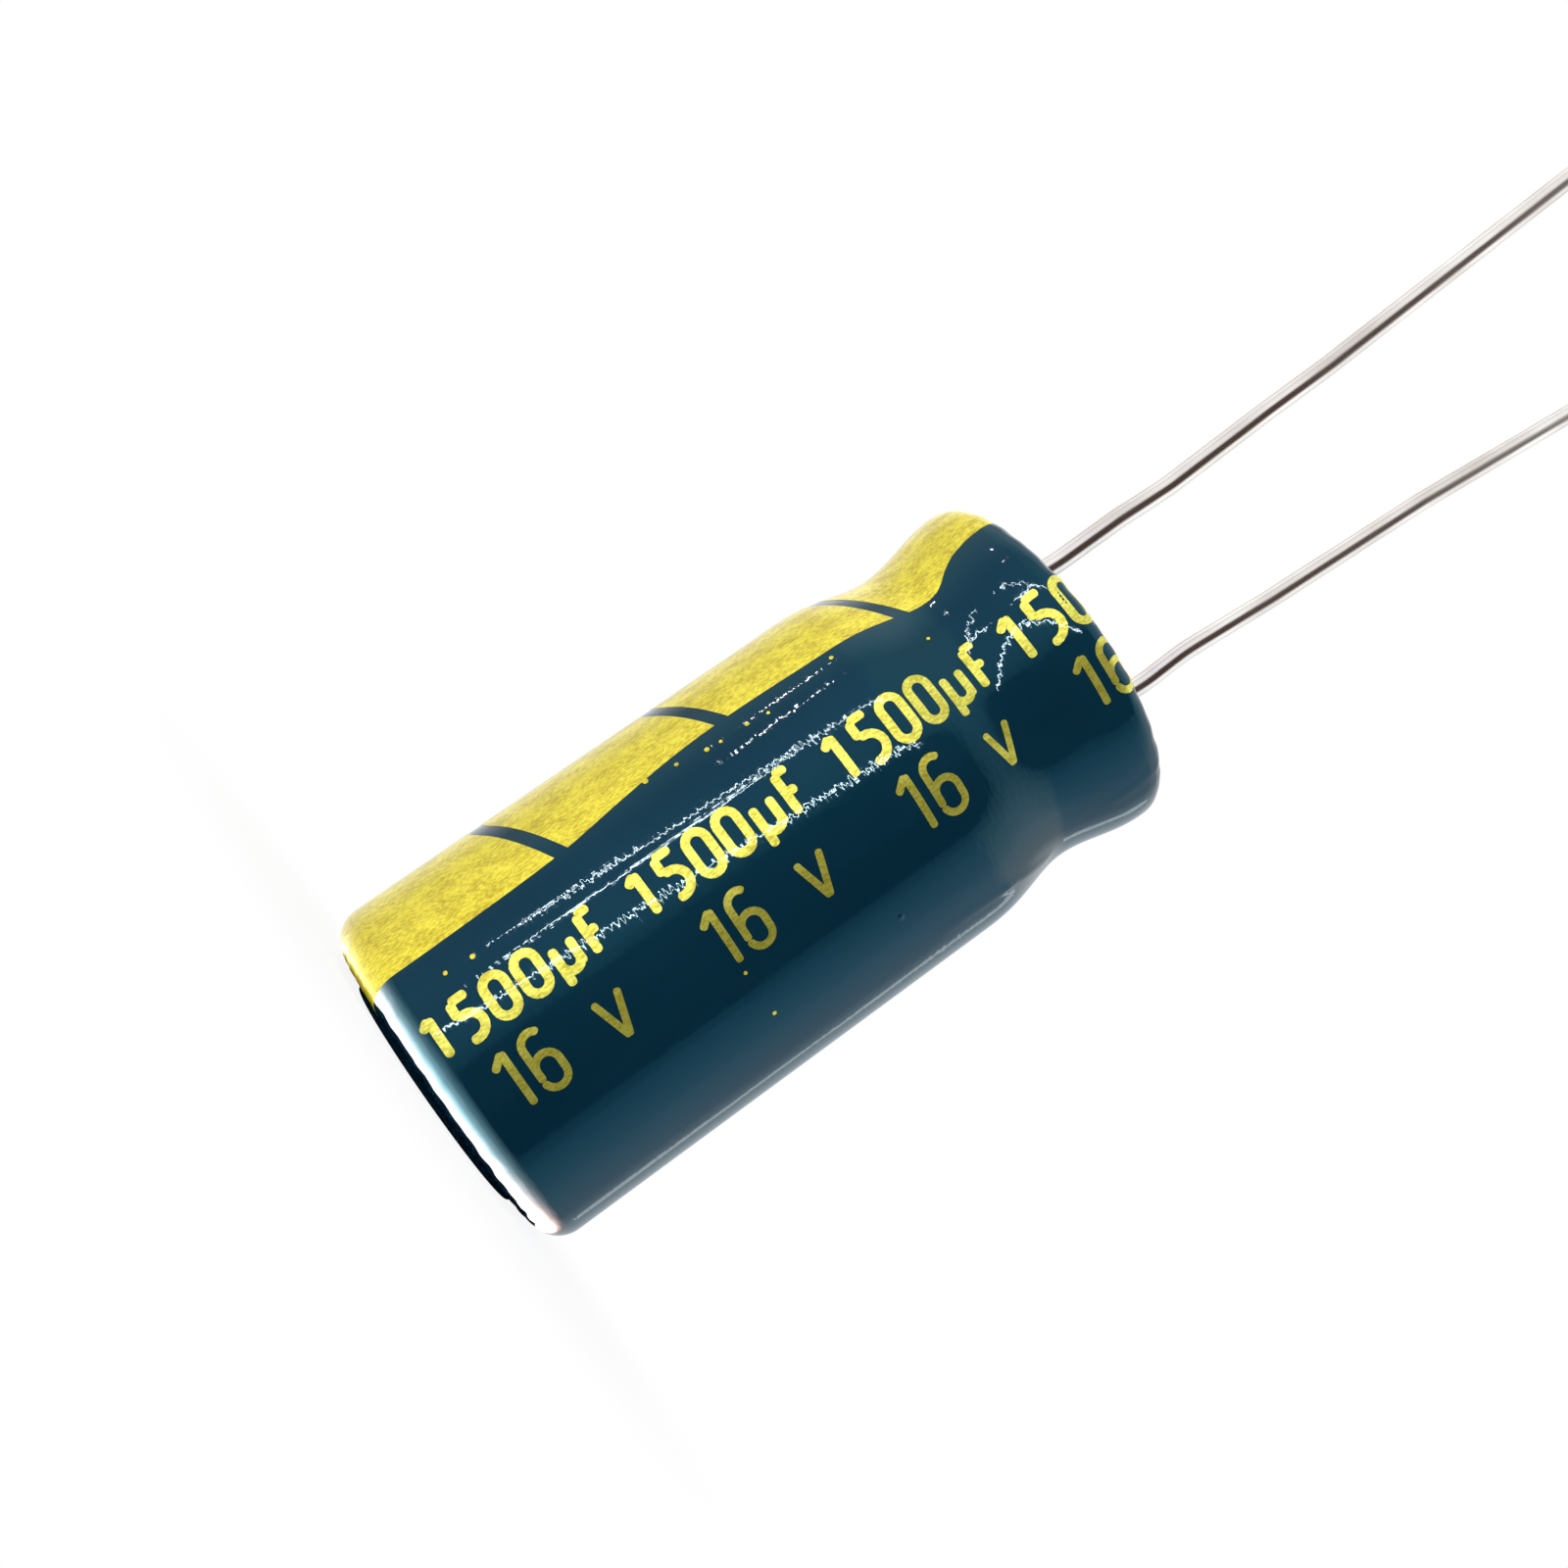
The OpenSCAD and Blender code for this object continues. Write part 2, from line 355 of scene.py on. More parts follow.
def die_lines(material):
    """The relief that the film keeps from its making and its shrinking."""
    lines = grain(material, 0.16, (1, 1, 0.05), detail=2.0)
    peel = grain(material, 1.6, (1, 1, 0.45), detail=1.0)
    return relief(material, lines, 0.0022, relief(material, peel, 0.010))


def shrink_wrinkles(material, under):
    """Fine short wrinkles across the sleeve, in patches, that break up narrow highlights."""
    wrinkles = grain(material, 0.12, (0.35, 0.35, 1), detail=0.5)
    patches = spread(material, grain(material, 2.4, (1, 1, 0.5), detail=1.0), 0.15, 1.0)
    return relief(material, sums(material, "MULTIPLY", wrinkles, patches), 0.0055, under)


def pimples(material, under):
    """Small pimples, far apart, where dust lies under the film."""
    place = add_node(material, "TexCoord", {}).outputs["Object"]
    cells = add_node(material, "TexVoronoi", {"Vector": place, "Scale": PIMPLES, "Randomness": 1.0})
    dots = smooth_step(material, cells.outputs["Distance"], 0.0, PIMPLE_R, 1.0, 0.0)
    return relief(material, dots, 0.035, under)


def teal_film():
    """Glossy dark teal plastic, whose gloss is teal too where it faces the eye."""
    material = new_material("teal_film", {"IOR": 1.5, "Specular Tint": (0.22, 0.76, 1.0, 1)})
    tint = grain(material, 2.2, (1, 1, 0.4))
    feed(material, "Base Color", shades(material, tint, (0.0015, 0.021, 0.041), (0.0022, 0.026, 0.048)))
    feed(material, "Roughness", spread(material, grain(material, 0.25, detail=4.0), 0.03, 0.06))
    feed(material, "Normal", pimples(material, shrink_wrinkles(material, die_lines(material))))
    return material


def make_sleeve():
    """The outline is spun round, made uneven and given its thickness."""
    bm = bmesh.new()
    line = [bm.verts.new((p[0], 0, p[1])) for p in OUTLINE]
    edges = [bm.edges.new(pair) for pair in zip(line, line[1:])]
    bmesh.ops.spin(
        bm, geom=line + edges, cent=(0, 0, 0), axis=(0, 0, 1),
        angle=2 * pi, steps=SLEEVE_STEPS, use_merge=True
    )
    bm.normal_update()
    bmesh.ops.recalc_face_normals(bm, faces=bm.faces)
    lifts = []
    for v in bm.verts:
        lifts.append((v, v.normal * film_lift(v.co.xy.length, v.co.z, atan2(v.co.y, v.co.x))))
    for v, lift in lifts:
        v.co += lift
    bm.normal_update()
    bmesh.ops.solidify(bm, geom=bm.faces, thickness=FILM)
    return make_piece(bm, "sleeve_film", teal_film())


sleeve = make_sleeve()
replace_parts(sleeve, "sleeve")

# The negative side is marked by a broad gold band, printed on the film before
# it is shrunk, so that its edge wanders. Narrow curved gaps divide the band.

# The ink's face stands this far above the film, and its back lies in the film.
INK = 0.008
INK_DEPTH = 0.03
# Its colour varies by this share with its flakes, and else with coarser clouds.
FLAKES_SHARE = 0.6
# The print ends just short of the film's own end.
PRINT_END = RUNS[-1] - 0.06
# Angles of the band are from the print's middle. The band starts on the
# shoulder, where heights in the print go on as lengths along the film.
BAND_MIDDLE, BAND_TO = 88, 139
BAND_FROM_Z = -0.5
BAND_STEP, BAND_COLUMNS = 0.16, 70
# Each gap runs straight across the band's middle and slants softly beside it.
GAP = 0.43
GAP_STRAIGHT = 15
GAP_SLANT = 0.0355
GAP_SOFTNESS = 5
GAP_HEIGHTS = [4.53, 10.0, 15.45]
# The band's lower edge, as length up the film from height zero, and angle.
EDGE = [
    (0.2, 34.2), (2.5, 34.6), (6.0, 36.2), (8.1, 39.8), (9.8, 42.4), (11.8, 43.2), (14.1, 42.2),
    (16.5, 41.4), (17.5, 40.2), (18.0, 41), (18.5, 45.1), (19.0, 47.7), (19.8, 48.4), (21.6, 47.6),
]
# Specks of stray ink, as height, angle and radius.
SPECKS = [
    (2.13, 25.4, 0.06), (2.88, 24.8, 0.07), (8.8, 40.4, 0.08), (9.67, 38.9, 0.06), (10.5, 37, 0.07),
    (10.9, 36.6, 0.05), (11.7, 36.3, 0.06), (12.3, 35.3, 0.05), (14.5, 38.9, 0.06), (16.8, 27.3, 0.05),
    (8.0, -23.3, 0.05), (8.1, -40.1, 0.06), (13.2, 128, 0.05), (5.4, -96, 0.06),
]


def print_run(height):
    """The run of a height in the print, which goes on round the shoulder as a length."""
    side_start = FOLD_Z + SHOULDER_R
    return run_at(max(height, side_start)) + min(height - side_start, 0)


def wandering(points, x):
    """A smooth line through the points."""
    i = min(max(bisect_right([p[0] for p in points], x) - 1, 0), len(points) - 2)
    (x0, y0), (x1, y1) = points[i], points[i + 1]
    before, after = points[max(i - 1, 0)], points[min(i + 2, len(points) - 1)]
    slope0 = (y1 - before[1]) / (x1 - before[0])
    slope1 = (after[1] - y0) / (after[0] - x0)
    t = min(max((x - x0) / (x1 - x0), 0), 1)
    width = x1 - x0
    return ((2 * t**3 - 3 * t**2 + 1) * y0 + (t**3 - 2 * t**2 + t) * width * slope0
            + (3 * t**2 - 2 * t**3) * y1 + (t**3 - t**2) * width * slope1)


def gap_slant(angle):
    """How far a gap has moved towards the leads at that angle."""
    beside = abs(angle - BAND_MIDDLE) - GAP_STRAIGHT
    return GAP_SLANT * (beside + (beside**2 + GAP_SOFTNESS**2) ** 0.5) / 2


def gold_ink(name, low, high, metallic, rough, smooth):
    """Gold ink of fine flakes, laid on unevenly, under a thin gloss."""
    material = new_material(name, {"Metallic": metallic, "Coat Weight": 0.5, "Coat Roughness": 0.06})
    flakes = grain(material, 0.055, (1, 1, 0.4), detail=4.0)
    clouds = grain(material, 0.42, (1, 1, 0.6), detail=3.0)
    fine = sums(material, "MULTIPLY", flakes, FLAKES_SHARE)
    coarse = sums(material, "MULTIPLY", clouds, 1 - FLAKES_SHARE)
    laid = sums(material, "ADD", fine, coarse)
    feed(material, "Base Color", shades(material, laid, low, high, 0.37, 0.6))
    feed(material, "Roughness", spread(material, flakes, rough, smooth))
    feed(material, "Normal", relief(material, flakes, 0.003, die_lines(material)))
    feed(material, "Coat Normal", die_lines(material))
    return material


def finish_print(bm, name, ink):
    """Printed faces get the ink's depth and become a piece."""
    bmesh.ops.recalc_face_normals(bm, faces=bm.faces)
    bm.normal_update()
    bmesh.ops.solidify(bm, geom=bm.faces, thickness=INK_DEPTH)
    return make_piece(bm, name, ink)


def make_band():
    """Panels between the gaps and stray specks, laid on the film."""
    bm = bmesh.new()
    foot = print_run(0)
    ends = [run_at(z) for z in GAP_HEIGHTS]
    starts = [print_run(BAND_FROM_Z)] + [run + GAP for run in ends]
    for start, end in zip(starts, ends + [PRINT_END]):
        rows = round((end - start) / BAND_STEP)
        panel = bmesh.ops.create_grid(bm, x_segments=rows, y_segments=BAND_COLUMNS, size=0.5)
        for v in panel["verts"]:
            run_share, side_share = v.co.x + 0.5, v.co.y + 0.5
            run = start + (end - start) * run_share
            # The edge and the gaps depend on each other, so three rounds find the place.
            for _ in range(3):
                edge = wandering(EDGE, run - foot)
                angle = edge + (BAND_TO - edge) * side_share
                left = start + (gap_slant(angle) if start > starts[0] else 0)
                right = end + (gap_slant(angle) if end < PRINT_END else 0)
                run = left + (right - left) * run_share
            v.co = on_film(run, radians(PRINT_MIDDLE - angle), INK)
    for height, angle, radius in SPECKS:
        dot = bmesh.ops.create_circle(bm, cap_ends=True, segments=10, radius=radius)
        for v in dot["verts"]:
            v.co = on_film(run_at(height) + v.co.x, radians(PRINT_MIDDLE - angle) + v.co.y / FILM_R, INK)
    gold = gold_ink("gold_ink", (0.55, 0.43, 0.004), (0.98, 0.865, 0.05), 0.5, 0.5, 0.36)
    return finish_print(bm, "gold_band_print", gold)


band = make_band()

# Two rows of plain ratings are printed in the same gold, over and over along
# the sleeve, in narrow lettering of even strokes. The last ones run off over
# the rim.

# Arcs of the lettering are measured at this radius.
LETTERING_R = 5.1
# A curve is drawn in steps of this turn, and the corners of a stroke's end are
# rounded by this share of its width.
CURVE_STEP = 18
END_ROUNDING = 0.42
# Flat lettering is cut this fine along and across the sleeve to lie on it.
CUT_ALONG, CUT_ACROSS = 0.2, 0.12
# Strokes that cross lie this far above each other.
STROKE_LIFT = 0.002


def only(kind, geom):
    """Those elements of an operator's result that are of one kind."""
    return [element for element in geom if isinstance(element, kind)]


def pen_stroke(bm, place, heading, moves, width, rounded):
    """Draws a flat stroke with a broad nib. A move is a length, or a radius and a turn."""
    way = Matrix.Rotation(radians(heading), 3, "Z") @ Vector((1, 0, 0))
    place = Vector((*place, 0))
    side = Vector((-way.y, way.x, 0)) * width / 2
    first = [bm.verts.new(place - side), bm.verts.new(place + side)]
    nib = [bm.edges.new(first)]
    for move in moves:
        if isinstance(move, tuple):
            radius, turn = move
            left = Vector((-way.y, way.x, 0))
            centre = place + left * (radius if turn > 0 else -radius)
            steps = max(round(abs(turn) / CURVE_STEP), 1)
            swept = bmesh.ops.spin(
                bm, geom=nib, cent=centre, axis=(0, 0, 1), angle=radians(turn), steps=steps
            )["geom_last"]
            turned = Matrix.Rotation(radians(turn), 3, "Z")
            place = centre + turned @ (place - centre)
            way = turned @ way
        else:
            swept = bmesh.ops.extrude_edge_only(bm, edges=nib)["geom"]
            bmesh.ops.translate(bm, vec=way * move, verts=only(bmesh.types.BMVert, swept))
            place += way * move
        # The new nib is the swept edge whose ends lie beside the new place.
        nib = [e for e in only(bmesh.types.BMEdge, swept)
               if all((v.co - place).length < width * 0.51 for v in e.verts)][:1]
    if rounded:
        corners = first + list(nib[0].verts)
        bmesh.ops.bevel(
            bm, geom=corners, offset=width * END_ROUNDING, affect="VERTICES",
            segments=3, profile=0.5, material=-1
        )


def draw_0(width, height):
    """Strokes in a box of that size, each as a start, a heading and its moves: one loop."""
    half = width / 2
    return [((0, half), 90, [height - width, (half, -180), height - width, (half, -180)])]


def draw_1(width, height):
    """A stem and a flag."""
    stem = width * 0.72
    return [((stem, 0), 90, [height]), ((stem, height * 0.99), 222, [height * 0.32])]


def draw_5(width, height):
    """A bar, a side that leans a little, and a bowl."""
    bowl = height * 0.3
    return [
        ((width, height), 180, [width * 0.9]),
        ((width * 0.1, height), 268, [height * 0.42]),
        ((width * 0.08, bowl * 2), 0, [width * 0.92 - bowl, (bowl, -180), width * 0.96 - bowl]),
    ]


def draw_6(width, height):
    """A closed bowl, and a side that curls over it."""
    half = width / 2
    bowl = height * 0.6
    return [
        ((0, half), 90, [bowl - width, (half, -180), bowl - width, (half, -180)]),
        ((0, half), 90, [height - width, (half, -140)]),
    ]


def draw_mu(width, height):
    """A side that goes on below the foot, a bowl and a second side."""
    body, half = height * 0.68, width / 2
    return [
        ((0, body), 270, [body + height * 0.27]),
        ((0, half), 270, [(half, 180)]),
        ((width, body), 270, [body]),
    ]


def draw_f(width, height):
    """A capital F: a stem and two bars."""
    return [((0, 0), 90, [height]), ((0, height), 0, [width]), ((0, height * 0.52), 0, [width * 0.82])]


def draw_v(width, height):
    """Two slanting sides that meet at the foot."""
    slope = degrees(atan2(height, width / 2))
    length = (height**2 + width**2 / 4) ** 0.5
    return [((0, height), -slope, [length]), ((width, height), 180 + slope, [length])]


# Each sign of a rating as its drawing, where its left edge lies, and its width.
CAPACITANCE = [
    (draw_1, 0.1, 0.54), (draw_5, 0.87, 0.78), (draw_0, 1.76, 0.8),
    (draw_0, 2.65, 0.8), (draw_mu, 3.6, 0.74), (draw_f, 4.54, 0.62),
]
VOLTAGE = [(draw_1, 0, 0.55), (draw_6, 0.7, 0.83)]
VOLT = [(draw_v, 0, 0.88)]
# Each rating with the width of its strokes, and each of its prints as the height
# on the can at which it starts, the arc of its foot from the print's middle, and
# how tall its signs are.
RATINGS = [
    (CAPACITANCE, 0.24, [(0.74, 0.33, 1.34), (6.67, 0.28, 1.42), (12.6, 0.21, 1.5), (18.2, 0.1, 1.62)]),
    (VOLTAGE, 0.2, [(1.77, -1.74, 1.72), (7.72, -1.86, 1.74), (13.63, -1.98, 1.78), (19.2, -2.02, 1.68)]),
    (VOLT, 0.19, [(4.43, -1.74, 1.37), (10.37, -1.83, 1.37), (16.27, -1.99, 1.4)]),
]


def cut(bm, place, normal, **clear):
    """Cuts all faces along a plane."""
    everything = bm.verts[:] + bm.edges[:] + bm.faces[:]
    bmesh.ops.bisect_plane(bm, geom=everything, plane_co=place, plane_no=normal, **clear)


def lay_print(bm, run, arc):
    """Cuts flat lettering fine and lays it on the film, from that run and arc on."""
    for normal, step in ((Vector((1, 0, 0)), CUT_ALONG), (Vector((0, 1, 0)), CUT_ACROSS)):
        far = max(v.co.dot(normal) for v in bm.verts)
        for i in range(1, int(far / step) + 1):
            cut(bm, normal * (i * step), normal)
    cut(bm, (PRINT_END - run, 0, 0), (1, 0, 0), clear_outer=True)
    for v in bm.verts:
        angle = radians(PRINT_MIDDLE) - (arc + v.co.y) / LETTERING_R
        v.co = on_film(run + v.co.x, angle, INK + v.co.z)


def print_sign(bm, draw, left, run, arc, width, height, nib):
    """Adds the strokes of one sign to a print that starts at that run and arc."""
    for count, (place, heading, moves) in enumerate(draw(width - nib, height - nib)):
        stroke = bmesh.new()
        pen_stroke(stroke, place, heading, moves, nib, draw is not draw_0)
        bmesh.ops.remove_doubles(stroke, verts=stroke.verts, dist=0.001)
        bmesh.ops.recalc_face_normals(stroke, faces=stroke.faces)
        shift = (left + nib / 2, nib / 2, STROKE_LIFT * count)
        bmesh.ops.translate(stroke, vec=shift, verts=stroke.verts)
        lay_print(stroke, run, arc)
        part = finished_mesh(stroke, "stroke")
        bm.from_mesh(part)
        bpy.data.meshes.remove(part)


def make_ratings():
    """All prints of all ratings, as one piece."""
    bm = bmesh.new()
    for signs, nib, prints in RATINGS:
        for start, arc, height in prints:
            for draw, left, width in signs:
                print_sign(bm, draw, left, print_run(start), arc, width, height, nib)
    ink = gold_ink("rating_ink", (0.5, 0.46, 0.03), (0.86, 0.85, 0.14), 0.78, 0.44, 0.32)
    return finish_print(bm, "rating_print", ink)


ratings = make_ratings()

# Each lead is tinned wire, welded to its tab inside the seal and bent a little
# by handling. The wires are left uncut, the positive one longer, and end in a
# sheared face.
WIRE_R = 0.3
WIRE_FACETS = 24
WIRE_START_Z = 19.212
PITCH = 5.0
BEND_R = 6.0
BEND_STEPS = 4
# The sheared end: the full wire stops this far short of it, then goes up by the
# step and narrows to the share.
SHEAR_BELOW, SHEAR_STEP, SHEAR_SHARE = 0.05, 0.04, 0.84
# Each lead's side, the height of its end, and its way up, as straight lengths
# with the bend outwards after each.
LEADS = {
    "anode_lead": (1, 48.5, [(1.654, 4.5), (2.212, -7), (1.512, 7.5), (3.304, -1.5), (5.908, 2.3)]),
    "cathode_lead": (-1, 45.5, [(1.65, -3), (1.1, 4), (2.1, -3), (1.8, 4.8), (3.7, -1.3), (2.3, 1.9)]),
}


def tinned_wire():
    """Satin tin with fine marks drawn along the wire and dull patches."""
    material = new_material("tinned_wire", {"Metallic": 1.0})
    drawn = grain(material, 0.09, (1, 1, 0.03), detail=3.0)
    dull = grain(material, 0.9, (1, 1, 0.25), detail=4.0)
    feed(material, "Base Color", shades(material, dull, (0.7, 0.65, 0.61), (0.92, 0.89, 0.86)))
    feed(material, "Roughness", spread(material, dull, 0.28, 0.18))
    feed(material, "Normal", relief(material, drawn, 0.002, relief(material, dull, 0.004)))
    return material


def drawn_on(bm, ring, move):
    """Draws the wire on from its last ring, and gives the new one."""
    grown = bmesh.ops.extrude_edge_only(bm, edges=ring)["geom"]
    bmesh.ops.translate(bm, vec=move, verts=only(bmesh.types.BMVert, grown))
    return [e for e in only(bmesh.types.BMEdge, grown) if len(e.link_faces) == 1]


def make_lead(name, side, top, bends, material):
    """The wire grows from a disc through its bends to its sheared end."""
    bm = bmesh.new()
    bmesh.ops.create_circle(bm, segments=WIRE_FACETS, radius=WIRE_R, cap_ends=True)
    bmesh.ops.reverse_faces(bm, faces=bm.faces)
    ring = bm.edges[:]
    place, lean, cut_back = Vector((0, 0, 0)), 0.0, 0.0
    for straight, bend in bends:
        turn = radians(bend)
        reach = BEND_R * tan(abs(turn) / 2)
        move = Vector((sin(lean), 0, cos(lean))) * (straight - cut_back - reach)
        ring = drawn_on(bm, ring, move)
        place += move
        hand = 1 if turn > 0 else -1
        centre = place + Vector((cos(lean), 0, -sin(lean))) * hand * BEND_R
        bent = bmesh.ops.spin(bm, geom=ring, cent=centre, axis=(0, 1, 0), angle=turn, steps=BEND_STEPS)
        ring = only(bmesh.types.BMEdge, bent["geom_last"])
        place = centre + Matrix.Rotation(turn, 3, "Y") @ (place - centre)
        lean += turn
        cut_back = reach
    length = (top - WIRE_START_Z - place.z) / cos(lean) - SHEAR_BELOW
    move = Vector((sin(lean), 0, cos(lean))) * length
    ring = drawn_on(bm, ring, move)
    place += move
    ring = drawn_on(bm, ring, (0, 0, SHEAR_STEP))
    tip = list({v for e in ring for v in e.verts})
    bmesh.ops.scale(bm, vec=(SHEAR_SHARE, SHEAR_SHARE, 1), space=Matrix.Translation(-place), verts=tip)
    bmesh.ops.contextual_create(bm, geom=ring)
    if side < 0:
        bmesh.ops.scale(bm, vec=(-1, 1, 1), verts=bm.verts)
    bmesh.ops.translate(bm, vec=(side * PITCH / 2, 0, WIRE_START_Z), verts=bm.verts)
    bmesh.ops.recalc_face_normals(bm, faces=bm.faces)
    return make_piece(bm, name + "_wire", material)


tin = tinned_wire()
for name, (side, top, bends) in LEADS.items():
    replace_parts(make_lead(name, side, top, bends, tin), name)

# The studio is a white floor in white surroundings, dark only where the camera
# stands. A broad soft lamp lights the part, and narrow ones give its streaks.
EYE = Vector((-28.35, -40.488, 3.224))
AIM = Vector((-1.111, 0.778, 12.343))
LENS = 42.25
ROLL = 0.6114
# The level way from the part's axis to the camera.
FACING = Vector((EYE.x, EYE.y, 0)).normalized()

camera = new_object("camera", bpy.data.cameras.new("camera"))
camera.data.lens = LENS
camera.data.clip_start = 0.001
forward = (AIM - EYE).normalized()
right = (Vector((0, 0, 1)) - forward * forward.z).normalized()
roll = Matrix.Rotation(ROLL, 3, forward)
down = roll @ forward.cross(right)
right = roll @ right
stance = Matrix((right, -down, -forward)).transposed().to_4x4()
camera.matrix_world = Matrix.Translation(EYE / 1000) @ stance
bpy.context.scene.camera = camera

# The height that all lamps face.
LAMPS_FACE_Z = 11
# Narrow lamps, as azimuth, height, width, length and tilt, all this far away.
STREAK_DISTANCE = 200
STREAKS = [
    (220.9, 33.5, 2.0, 134, -43.7), (191.1, 43.5, 1.6, 100, -39.7), (194.5, 26, 2.0, 44, 5),
    (170, 52, 2.6, 9, 0), (157.4, 55, 2.6, 8, 0),
]
# Each narrow lamp is there twice. One lights only the film, and is warm against
# its cool gloss, and the other lights only the print.
STREAKS_ON = [
    ("film", [sleeve], 174.0, (1.0, 0.38, 0.31)),
    ("print", [band, ratings], 66.0, (1.0, 0.9, 0.9)),
]


def lamp(name, azimuth, height, distance, width, tall, radiance, tilt=0, colour=(1, 1, 1)):
    """A lamp that faces the part's middle, tilted in its own plane."""
    light = bpy.data.lights.new(name, "AREA")
    light.shape = "RECTANGLE"
    light.size = width / 1000
    light.size_y = tall / 1000
    light.energy = radiance * pi * light.size * light.size_y
    light.color = colour
    holder = new_object(name, light)
    place = Vector((distance * cos(radians(azimuth)), distance * sin(radians(azimuth)), height))
    facing = (place - Vector((0, 0, LAMPS_FACE_Z))).to_track_quat("Z", "Y").to_matrix()
    facing = facing @ Matrix.Rotation(radians(tilt), 3, "Z")
    holder.matrix_world = Matrix.Translation(place / 1000) @ facing.to_4x4()
    return holder


broad = lamp("broad_lamp", azimuth=195, height=150, distance=330, width=300, tall=260, radiance=1.0)
broad.visible_glossy = False
for target, pieces, radiance, colour in STREAKS_ON:
    lit = bpy.data.collections.new("streaks_on_" + target)
    for piece in pieces:
        lit.objects.link(piece)
    for count, (azimuth, height, width, tall, tilt) in enumerate(STREAKS):
        name = f"{target}_streak_lamp_{count + 1}"
        holder = lamp(name, azimuth, height, STREAK_DISTANCE, width, tall, radiance, tilt, colour)
        holder.light_linking.receiver_collection = lit
lamp("far_lamp", azimuth=11, height=35, distance=200, width=16, tall=90, radiance=0.95)

# The floor's shadow is a tenth of a real one near the part's foot, and fades out
# between these distances in metres.
SHADOW_NEAR, SHADOW_FAR = 0.005, 0.015
SHADOW_HIDDEN = 0.9
# Half the side of the floor and of a card below it, in metres.
FLOOR_HALF, CARD_HALF = 2.0, 0.02


def show(material, node):
    """The material's surface is that shader."""
    output = material.node_tree.nodes["Material Output"]
    material.node_tree.links.new(node.outputs[0], output.inputs["Surface"])


def from_foot(material):
    """A place on the floor or a card, and how far it is from the part's foot in metres."""
    place = add_node(material, "TexCoord", {}).outputs["Object"]
    return place, add_node(material, "VectorMath", {0: place}, operation="LENGTH").outputs["Value"]


def white_floor():
    """A white floor that keeps the shadow near the part and melts into the surroundings."""
    even = {"Base Color": (0.92, 0.92, 0.92, 1), "Roughness": 0.9, "Specular IOR Level": 0.0}
    material = new_material("white_floor", even)
    plain = material.node_tree.nodes["Principled BSDF"]
    _, away = from_foot(material)
    fade = smooth_step(material, away, SHADOW_NEAR, SHADOW_FAR, SHADOW_HIDDEN, 1.0)
    path = add_node(material, "LightPath", {})
    seen = sums(material, "MULTIPLY", path.outputs["Is Camera Ray"], fade)
    glow = add_node(material, "Emission", {"Color": (1, 1, 1, 1), "Strength": 1.0})
    show(material, add_node(material, "MixShader", {0: seen, 1: plain.outputs[0], 2: glow.outputs[0]}))
    return material


def stage_sheet(name, half, height, material):
    """A flat square of the studio, by half its side and its height in metres."""
    bm = bmesh.new()
    bmesh.ops.create_grid(bm, x_segments=1, y_segments=1, size=half)
    bmesh.ops.translate(bm, vec=(0, 0, height), verts=bm.verts)
    mesh = finished_mesh(bm, name)
    mesh.materials.append(material)
    sheet = new_object(name, mesh)
    return sheet


floor = stage_sheet("floor", FLOOR_HALF, 0.0, white_floor())
floor.visible_glossy = False

# Cards just below the floor give the glare on the rounded end. Each is reached
# only by the mirrored rays of its own piece, and has a height in metres, a
# strength and a colour.
GLARES = [(sleeve, -0.00002, 130.0, (1.0, 0.6, 0.52)), (band, -0.00004, 3.0, (1.0, 1.0, 1.0))]
# The glow's level by the distance from the part's foot, in centimetres.
GLOW = [(0.45, 0.0), (0.47, 1.0), (0.49, 0.4), (0.54, 0.14), (0.6, 0.05), (0.7, 0.016), (0.9, 0.0)]
# The edge of the shadow inside it, in centimetres too.
SHADE_FROM, SHADE_TO = 0.44, 0.45
# The glow grows between these cosines of the turn from the camera's side.
GLOW_BEHIND, GLOW_FACING = -0.25, 0.2


def glare(strength, colour):
    """A glow in a ring just outside the lip, on the camera's side, and a shadow inside the ring."""
    material = new_material("glare", {})
    place, away = from_foot(material)
    centimetres = sums(material, "MULTIPLY", away, 100.0)
    ring = ramp_through(material, centimetres, [(at, (level,) * 3) for at, level in GLOW])
    way = add_node(material, "VectorMath", {0: place}, operation="NORMALIZE").outputs["Vector"]
    ahead = add_node(material, "VectorMath", {0: way, 1: FACING}, operation="DOT_PRODUCT").outputs["Value"]
    side = smooth_step(material, ahead, GLOW_BEHIND, GLOW_FACING, 0.0, strength)
    level = sums(material, "MULTIPLY", ring, side)
    glow = add_node(material, "Emission", {"Color": (*colour, 1), "Strength": level})
    clear = shades(material, centimetres, (0, 0, 0), (1, 1, 1), SHADE_FROM, SHADE_TO)
    through = add_node(material, "BsdfTransparent", {"Color": clear})
    show(material, add_node(material, "AddShader", {0: glow.outputs[0], 1: through.outputs[0]}))
    return material


for piece, height, strength, colour in GLARES:
    card = stage_sheet("glare_card", CARD_HALF, height, glare(strength, colour))
    card.visible_camera = False
    card.visible_diffuse = False
    card.light_linking.receiver_collection = bpy.data.collections.new("glare_on")
    card.light_linking.receiver_collection.objects.link(piece)

# The dark place around the camera, as the middle and half the width of its
# turn from the camera towards the gold band and of its height.
DARK_TURN, DARK_TURN_HALF = -29, 32
DARK_RISE, DARK_RISE_HALF = 11, 29
# How square it is, how far its tones reach, and these from the middle outwards.
DARK_POWER, DARK_REACH = 4.0, 6.0
DARK_TONES = [(0.13, (0.055, 0.028, 0.02)), (0.2, (0.45,) * 3), (0.45, (0.85,) * 3), (1.0, (1, 1, 1))]
